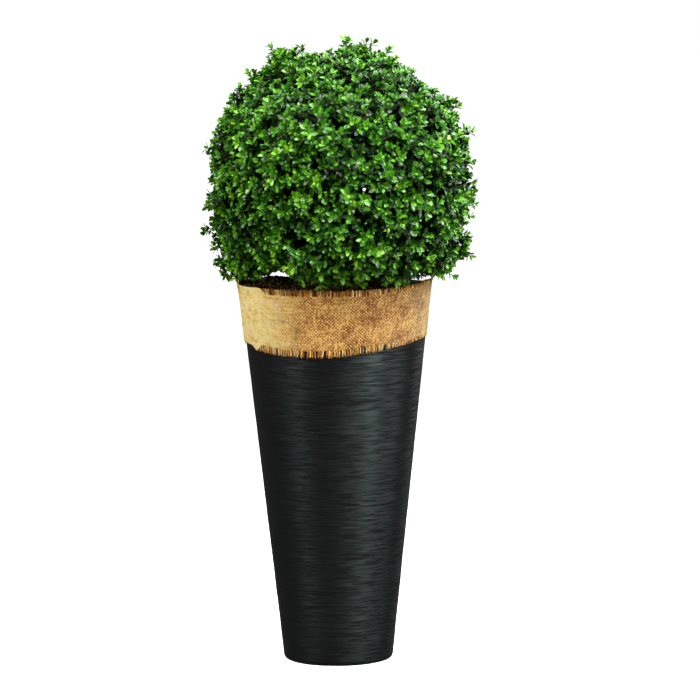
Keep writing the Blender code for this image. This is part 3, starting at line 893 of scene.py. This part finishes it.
def reach(directions, inset=0.0, lift=0.0):
    """How far the crown comes from its centre in directions, or a shape inset from it."""
    slopes = directions[..., 2]
    near = np.exp(LUMP_SHARPNESS * (directions @ lump_places.T - 1))
    free = CROWN_RADIUS - inset + near @ lump_heights
    free += SQUARENESS * 4 * slopes**2 * (1 - slopes**2)
    free += LOWER_FULLNESS * hump(slopes, FULLEST_SLOPE, FULL_WIDTH)
    steepness = np.maximum(-slopes, LEAST_SLOPE)
    down = (centre[2] - underside(directions) - lift) / steepness
    flat = (free**-CORNER_POWER + down**-CORNER_POWER) ** (-1 / CORNER_POWER)
    return np.where(slopes >= 0, free, flat)


def bent(start, start_way, end, end_way, count, stiffness=0.45):
    """Points of limbs that leave along one way and arrive along another."""
    far = np.linalg.norm(end - start, axis=1)[:, None] * stiffness
    share = np.linspace(0, 1, count)[None, :, None]
    first, second = start + start_way * far, end - end_way * far
    rest = 1 - share
    return (rest**3 * start[:, None] + 3 * rest**2 * share * first[:, None]
            + 3 * rest * share**2 * second[:, None] + share**3 * end[:, None])


bough_ways = spiral(BOUGHS)
bough_ends = centre + bough_ways * CROWN_RADIUS * BOUGH_SHARE
rank = np.argsort(np.argsort(bough_ways[:, 2]))
forks = np.linspace(STEM_TOP + 0.004, centre[2] - 0.006, BOUGHS)[rank]
bough_starts = np.array([stem_axis(height)[:] for height in forks])
bough_leave = unit(bough_ways * (1, 1, 0.2) + (0, 0, 0.6))
bough_paths = bent(bough_starts, bough_leave, bough_ends, bough_ways, LIMB_POINTS)
bough_radii = np.linspace(*BOUGH_RADII, LIMB_POINTS)

inner_heights = np.linspace(STEM_TOP + STEM_GAP, centre[2], LIMB_POINTS)
inner_path = np.array([[stem_axis(height)[:] for height in inner_heights]])
inner_radii = np.linspace(STEM_TOP_RADIUS, BOUGH_RADII[0], LIMB_POINTS)

branch_chance = random.Random(CROWN_SEED + 1)
sway = np.array([[branch_chance.uniform(-1, 1) for _ in range(5)] for _ in range(BRANCHES)])
branch_ways = unit(spiral(BRANCHES) + sway[:, :3] * DIRECTION_SWAY)
branch_reach = reach(branch_ways, TIP_INSET, CORE_LIFT) + TIP_SWAY * sway[:, 3]
branch_tips = centre + branch_ways * branch_reach[:, None]
apart = np.linalg.norm(branch_tips[:, None] - bough_ends[None], axis=2)
bearer = np.argmin(apart, axis=1)
towards_tip = unit(branch_tips - bough_ends[bearer])
branch_along = unit(branch_ways * OUTWARD_PULL + towards_tip)
branch_along[:, 2] = np.maximum(branch_along[:, 2], LOWEST_SLOPE)
branch_along = unit(branch_along)
leaves_bough = unit(bough_ways[bearer] + 0.6 * towards_tip)
branch_paths = bent(bough_ends[bearer], leaves_bough, branch_tips, branch_along, LIMB_POINTS)
branch_radii = np.linspace(*BRANCH_RADII, LIMB_POINTS)[None]

limbs = tubes(
    np.concatenate([inner_path, bough_paths]), np.stack([inner_radii] + [bough_radii] * BOUGHS), 12
)
boughs = joined_piece("boughs", *limbs, (bark,))
branches = joined_piece("branches", *tubes(branch_paths, branch_radii, 6), (bark,))


# Crown: twigs
# Every branch ends in a tuft of fine green-brown twigs, and clipping makes each twig fork into
# shoots just under the surface. Tufts are domed, so dark gaps run between them.
TWIGS = 1800
TWIG_RADII = (0.0014, 0.0007)
TWIG_SCATTER = 0.022
SHOOTS_EACH = 2
SHOOT_RADII = (0.0008, 0.0005)
TUFT_RADIUS = 0.046
TUFT_DROP = 0.014
TUFT_SCATTER = 0.003
TIP_INSIDE = 0.0095
TIP_SCATTER = 0.024
LONG_TIPS = 0.18
LONG_TIP_GAIN = 0.018
# Where the shears left it fuller or took it closer: degrees from upright in front view, and metres
SHEARED = ((-127, 0.014), (-115, -0.023), (-104, 0.005), (-88, -0.012), (-74, -0.005),
           (-61, 0.007), (-48, -0.014), (-35, 0.012), (-20, 0.007), (-8, -0.009), (20, -0.007),
           (45, -0.020), (57, 0.005), (70, -0.006), (85, -0.008), (112, -0.010), (129, 0.008))
SHEAR_SHARPNESS = 30.0
# They rounded it where its top turns down, and left its lowest sprigs long, so they hang over the
# rim: slope, its width, and metres
ROUNDED = ((0.70, 0.16, -0.012), (-0.64, 0.12, 0.014))
# Single sprigs that stick out past the rest: degrees from upright in front view, and metres
STRAY_SPRIGS = ((1, 0.013), (8, 0.015), (19, 0.011), (-75, 0.006), (-111, 0.010), (70, 0.008),
                (103, 0.006), (119, 0.012), (-133, 0.005), (136, 0.008))
TWIG_POINTS = 6
SHOOT_POINTS = 4
TWIG_STIFFNESS = 0.38
BACK_ALONG = (0.055, 0.085)
SHOOT_SPLITS = (0.012, 0.044)
SHOOT_LENGTHS = (0.014, 0.024)
SHOOT_LEAN = (0.55, 0.95)
SHOOT_TURN = 2.4


def seen_from_front(angle):
    """The way that leans by an angle from upright in the front view."""
    return np.array([math.sin(math.radians(angle)), 0, math.cos(math.radians(angle))])


dealt = np.random.default_rng(CROWN_SEED + 2)
twig_ways = unit(spiral(TWIGS) + dealt.normal(0, TWIG_SCATTER, (TWIGS, 3)))
nearness = twig_ways @ branch_ways.T
parent = np.argmax(nearness, axis=1)
from_axis = CROWN_RADIUS * np.arccos(np.clip(nearness.max(axis=1), -1, 1))
domed = TUFT_DROP * np.minimum(from_axis / TUFT_RADIUS, 1.3) ** 2
tuft_height = dealt.normal(0, TUFT_SCATTER, BRANCHES)[parent]
long_tip = (dealt.random(TWIGS) < LONG_TIPS) * dealt.uniform(0.3, 1.0, TWIGS) * LONG_TIP_GAIN
sheared = np.zeros(TWIGS)
for angle, gain in SHEARED:
    sheared += gain * np.exp(SHEAR_SHARPNESS * (twig_ways @ seen_from_front(angle) - 1))
for slope, width, gain in ROUNDED:
    sheared += gain * hump(twig_ways[:, 2], slope, width)
tip_reach = reach(twig_ways, TIP_INSIDE) + sheared
tip_reach = tip_reach - domed + tuft_height + long_tip
tip_reach -= TIP_SCATTER * dealt.random(TWIGS)
for angle, gain in STRAY_SPRIGS:
    stray = np.argmax(twig_ways @ seen_from_front(angle))
    tip_reach[stray] = reach(twig_ways[stray], TIP_INSIDE, 0.002) + sheared[stray] + gain
twig_tips = centre + twig_ways * tip_reach[:, None]
back = dealt.uniform(*BACK_ALONG, TWIGS)
aim_in = unit(centre + (branch_ways[parent] * (tip_reach - back)[:, None]) * 0.98 - twig_tips)
twig_roots = twig_tips + aim_in * back[:, None]
towards_tip = unit(twig_tips - twig_roots)
twig_leave = unit(branch_along[parent] + 0.4 * towards_tip)
twig_arrive = unit(0.75 * twig_ways + 0.45 * towards_tip + (0, 0, 0.34)
                   + dealt.normal(0, 0.16, (TWIGS, 3)))
twig_paths = bent(twig_roots, twig_leave, twig_tips, twig_arrive, TWIG_POINTS, TWIG_STIFFNESS)


def along_path(paths, shares):
    """Points at shares of the way along paths, and the ways that the paths run there."""
    steps = paths.shape[1] - 1
    place = np.clip(shares * steps, 0, steps - 1e-6)
    before = place.astype(int)
    rest = (place - before)[:, None]
    index = np.arange(len(paths))
    first, second = paths[index, before], paths[index, before + 1]
    return first * (1 - rest) + second * rest, unit(second - first)


def path_lengths(paths):
    return np.linalg.norm(np.diff(paths, axis=1), axis=2).sum(axis=1)


twig_lengths = path_lengths(twig_paths)
shoot_twig = np.repeat(np.arange(TWIGS), SHOOTS_EACH)
shoots = len(shoot_twig)
order = np.tile(np.arange(SHOOTS_EACH), TWIGS)
low_split, high_split = SHOOT_SPLITS
split = low_split + (high_split - low_split) * (order + dealt.random(shoots)) / SHOOTS_EACH
shoot_roots, carrier = along_path(twig_paths[shoot_twig], 1 - split / twig_lengths[shoot_twig])
spin = order * SHOOT_TURN + np.repeat(dealt.uniform(0, 2 * math.pi, TWIGS), SHOOTS_EACH)
_, cross, over = turned_to(carrier, unit(dealt.normal(size=(shoots, 3))))
sideways = cross * np.cos(spin)[:, None] + over * np.sin(spin)[:, None]
lean = dealt.uniform(*SHOOT_LEAN, shoots)[:, None]
shoot_leave = unit(carrier * np.cos(lean) + sideways * np.sin(lean))
shoot_lengths = dealt.uniform(*SHOOT_LENGTHS, shoots)
shoot_arrive = unit(shoot_leave + 0.8 * twig_ways[shoot_twig] + (0, 0, 0.32))
shoot_tips = shoot_roots + unit(shoot_leave + shoot_arrive) * shoot_lengths[:, None]
shoot_paths = bent(
    shoot_roots, shoot_leave, shoot_tips, shoot_arrive, SHOOT_POINTS, TWIG_STIFFNESS
)


# A hollow runs from front to back under the crown, where the sky shows over the soil: its middle
# to the right, its width, its height, and how much it falls for each metre towards the back
HOLLOW_MIDDLE = -0.104
HOLLOW_WIDTH = 0.034
HOLLOW_HEIGHT = 0.0155
HOLLOW_FALL = 0.083
# Leaves may droop under the crown's underside, most where they hang outside the rim
RIM_CLEAR_RADIUS = 0.190
DROOP_OUTSIDE = 0.013
DROOP_INSIDE = 0.004
STEM_CLEARANCE = 0.03
SPACE_SLACK = 0.006


def in_space(points, slack):
    """True where points lie within the crown's reach, over its underside and off the stem."""
    away = points - centre
    far = np.linalg.norm(away, axis=-1)
    ways = away / np.maximum(far, 1e-9)[..., None]
    inside = far < reach(ways) + slack
    hollow = HOLLOW_HEIGHT + DROOP_OUTSIDE - HOLLOW_FALL * points[..., 1]
    hollow *= hump(points[..., 0], HOLLOW_MIDDLE, HOLLOW_WIDTH)
    from_stem = np.linalg.norm(points[..., :2], axis=-1)
    droop = np.where(from_stem > RIM_CLEAR_RADIUS, DROOP_OUTSIDE, DROOP_INSIDE)
    over_soil = points[..., 2] > np.maximum(
        underside(ways) - droop, CROWN_UNDERSIDE - DROOP_OUTSIDE + hollow
    )
    clear = (points[..., 2] > STEM_TOP) | (from_stem > STEM_CLEARANCE)
    return inside & over_soil & clear


keep_twig = in_space(twig_tips, SPACE_SLACK + LONG_TIP_GAIN)
keep_shoot = keep_twig[shoot_twig] & in_space(shoot_tips, SPACE_SLACK)
twigs_kept, shoots_kept = twig_paths[keep_twig], shoot_paths[keep_shoot]
twig_wood = new_finish("twig_green_brown", "34331B", 0.7)[0]
shoot_wood = new_finish("shoot_green", "4E6A24", 0.6)[0]
thin = np.linspace(*TWIG_RADII, TWIG_POINTS)[None]
twigs = joined_piece("twigs", *tubes(twigs_kept, thin, 4), (twig_wood,))
thin = np.linspace(*SHOOT_RADII, SHOOT_POINTS)[None]
shoot_piece = joined_piece("shoots", *tubes(shoots_kept, thin, 3), (shoot_wood,))


# Crown: leaves
# Box leaves stand in opposite pairs, each turned across the last, and close up to a rosette at
# the tip. A leaf is leathery, widest past its middle and dished, 13 to 17 mm long and longer on
# older wood, where the pairs are sparser.
LEAF_LENGTHS = (0.0130, 0.0174)
LEAF_SLIM = (0.45, 0.55)
FIRST_PAIR = 0.0006
ROSETTE_GAP = 0.0011
PAIR_GAP = 0.0072
INNER_GAP = 0.0088
TWIG_LEAFY = (0.030, 0.046)
BRANCH_LEAFY = 0.7
# The rosette's pairs, from the tip: how far they lean out, and their size beside other leaves
ROSETTE_LEAN = (0.40, 0.78)
ROSETTE_SIZE = (0.72, 0.92)
ROSETTE = len(ROSETTE_LEAN)
# Below it, pairs lean out further and further, in radians, and stand a little unevenly
OPEN_LEAN = 0.95
LEAN_GAIN = 0.07
LEAN_SCATTER = 0.14
LEAN_LIMITS = (0.15, 1.5)
TURN_SCATTER = 0.22
FACING_SCATTER = 0.16
# Older leaves, on the twigs and on the branches: their age in pairs, and their size
OLD_YEARS = 6
INNER_SIZE = 1.25
BRANCH_SIZE = 1.5
# Each row across the leaf: its place along it, half its width and how far its edges rise
LEAF_ROWS = ((0.0, 0.05, 0.0), (0.34, 0.41, 0.10), (0.70, 0.50, 0.12), (1.0, 0.14, 0.02))
MIDRIB_TIP = 0.965
LEAF_DROOP = (0.0, 0.05, 0.04, -0.06)

bpy.ops.mesh.primitive_grid_add(x_subdivisions=3, y_subdivisions=2, size=1.0)
leaf = bpy.context.object
for corner in leaf.data.vertices:
    place = round((corner.co.x + 0.5) * 3)
    along, half, edge_rise = LEAF_ROWS[place]
    across = corner.co.y * 2
    middle = abs(across) < 0.5
    corner.co.x = along * (MIDRIB_TIP if middle and place == 3 else 1.0)
    corner.co.y = across * half
    corner.co.z = LEAF_DROOP[place] + (0.0 if middle else edge_rise)
bpy.ops.object.mode_set(mode="EDIT")
bpy.ops.mesh.select_mode(type="VERT")
select_where(leaf, "verts", lambda co: co.x < 0.01)
bpy.ops.mesh.merge(type="CENTER")
bpy.ops.object.mode_set(mode="OBJECT")
leaf_corners, leaf_faces = model_arrays(leaf)


def leaf_pairs(paths, leafy, pair_gap, rosette, sprays, years=0, larger=1.0):
    """The leaves along shoots, pair by pair, from each tip down to a leafy length."""
    found = []
    lengths = path_lengths(paths)
    start_turn = dealt.uniform(0, 2 * math.pi, len(paths))
    most = int(math.ceil(leafy.max() / pair_gap)) + rosette
    for pair in range(most):
        in_rosette = pair < rosette
        older = pair - rosette
        below = FIRST_PAIR + (ROSETTE_GAP * pair if in_rosette else pair_gap * (older + 0.8))
        shown = below < leafy
        if not shown.any():
            break
        places, ways = along_path(paths[shown], 1 - below / lengths[shown])
        number = shown.sum()
        _, cross, over = turned_to(ways, np.tile([0.31, 0.17, 0.93], (number, 1)))
        turn = start_turn[shown] + pair * math.pi / 2 + dealt.normal(0, TURN_SCATTER, number)
        base = ROSETTE_LEAN[pair] if in_rosette else OPEN_LEAN + LEAN_GAIN * older
        for side in (0, math.pi):
            outward = cross * np.cos(turn + side)[:, None] + over * np.sin(turn + side)[:, None]
            lean = base + dealt.normal(0, LEAN_SCATTER, number)
            lean = np.clip(lean, *LEAN_LIMITS)[:, None]
            along = ways * np.cos(lean) + outward * np.sin(lean)
            facing = ways * np.sin(lean) - outward * np.cos(lean)
            facing = unit(facing + dealt.normal(0, FACING_SCATTER, (number, 3)))
            size = dealt.uniform(*LEAF_LENGTHS, number) * (ROSETTE_SIZE[pair] if in_rosette else 1)
            age = np.full(number, pair + years, float)
            found.append((places, along, facing, size * larger, age, sprays[shown]))
    return found


twig_leafy = np.minimum(dealt.uniform(*TWIG_LEAFY, TWIGS), twig_lengths * 0.8)[keep_twig]
twig_numbers = np.flatnonzero(keep_twig)
shoot_numbers = TWIGS + np.flatnonzero(keep_shoot)
shoot_leafy = path_lengths(shoots_kept) * 0.92
inner_paths = twigs_kept[:, :4]
inner_leafy = path_lengths(inner_paths)
branch_leafy = path_lengths(branch_paths) * BRANCH_LEAFY
nearest_twig = np.argmax(nearness, axis=0)
pairs = leaf_pairs(twigs_kept, twig_leafy, PAIR_GAP, ROSETTE, twig_numbers)
pairs += leaf_pairs(shoots_kept, shoot_leafy, PAIR_GAP * 0.9, ROSETTE, shoot_numbers)
pairs += leaf_pairs(inner_paths, inner_leafy, INNER_GAP, 0, twig_numbers, OLD_YEARS, INNER_SIZE)
pairs += leaf_pairs(branch_paths, branch_leafy, INNER_GAP, 0, nearest_twig, OLD_YEARS, BRANCH_SIZE)
leaves = [np.concatenate(values) for values in zip(*pairs)]
place, along, _, length, _, _ = leaves
kept = in_space(place + unit(along) * length[:, None], SPACE_SLACK + LONG_TIP_GAIN)
kept &= in_space(place, 0.02)
place, along, facing, length, age, spray = [values[kept] for values in leaves]
slim = length * dealt.uniform(*LEAF_SLIM, len(age))
models = np.broadcast_to(leaf_corners, (len(age), *leaf_corners.shape))
corners = copies(models, place, along, facing, np.stack([length, slim, slim], axis=1))

# Plain waxy greens, from the dark old leaves inside to the yellow-green of new growth: each spray
# takes a shade, and its leaves lighten towards its tip. Leaves deeper in the crown are darker,
# partly as older leaves and partly as painted shade.
LEAF_GREENS = ("142808", "1C3E0B", "275711", "34700F", "468210", "568E13", "68991E", "7DA530")
MEAN_SHADE = 2.9
TIP_LIGHTENS = 2.9
TIP_AGE = 1.7
INSIDE_AGE_AND_SHADE = 3.2
DARK_DEPTH = 0.06
leaf_finishes = []
for number, green in enumerate(LEAF_GREENS):
    waxy, _, shader = new_finish(f"box_leaf_green_{number + 1}", green, 0.40, 1.48)
    feed(shader, {"Coat Weight": 0.20, "Coat Roughness": 0.36})
    leaf_finishes.append(waxy)
twig_shade = dealt.normal(MEAN_SHADE, 0.5, TWIGS) + dealt.normal(0, 0.25, BRANCHES)[parent]
spray_shade = np.concatenate([twig_shade, twig_shade[shoot_twig] + dealt.normal(0, 0.8, shoots)])
# Leaves deeper inside the crown are darkened, partly as older leaves and partly as painted shade.
away = place - centre
depth = np.clip((reach(unit(away)) - np.linalg.norm(away, axis=1)) / DARK_DEPTH, 0, 1)
shade = spray_shade[spray] + TIP_LIGHTENS * hump(age, 0, TIP_AGE)
shade = shade - INSIDE_AGE_AND_SHADE * depth + dealt.normal(0, 0.7, len(age))
tint = np.clip(np.rint(shade), 0, len(LEAF_GREENS) - 1).astype(int)

# One piece for each eighth of the crown, named by its side
SIDES = ("front", "front_right", "right", "back_right", "back", "back_left", "left", "front_left")
bearing = np.degrees(np.arctan2(away[:, 0], -away[:, 1]))
sector = ((bearing + 22.5) // 45).astype(int) % 8
crown_pieces = [boughs, branches, twigs, shoot_piece]
for number, side in enumerate(SIDES):
    chosen = sector == number
    crown_pieces.append(joined_piece(
        f"leaves_{side}", corners[chosen], leaf_faces, leaf_finishes, tint[chosen]
    ))
for piece in crown_pieces:
    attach(piece, "root")
    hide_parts("foliage_ball")
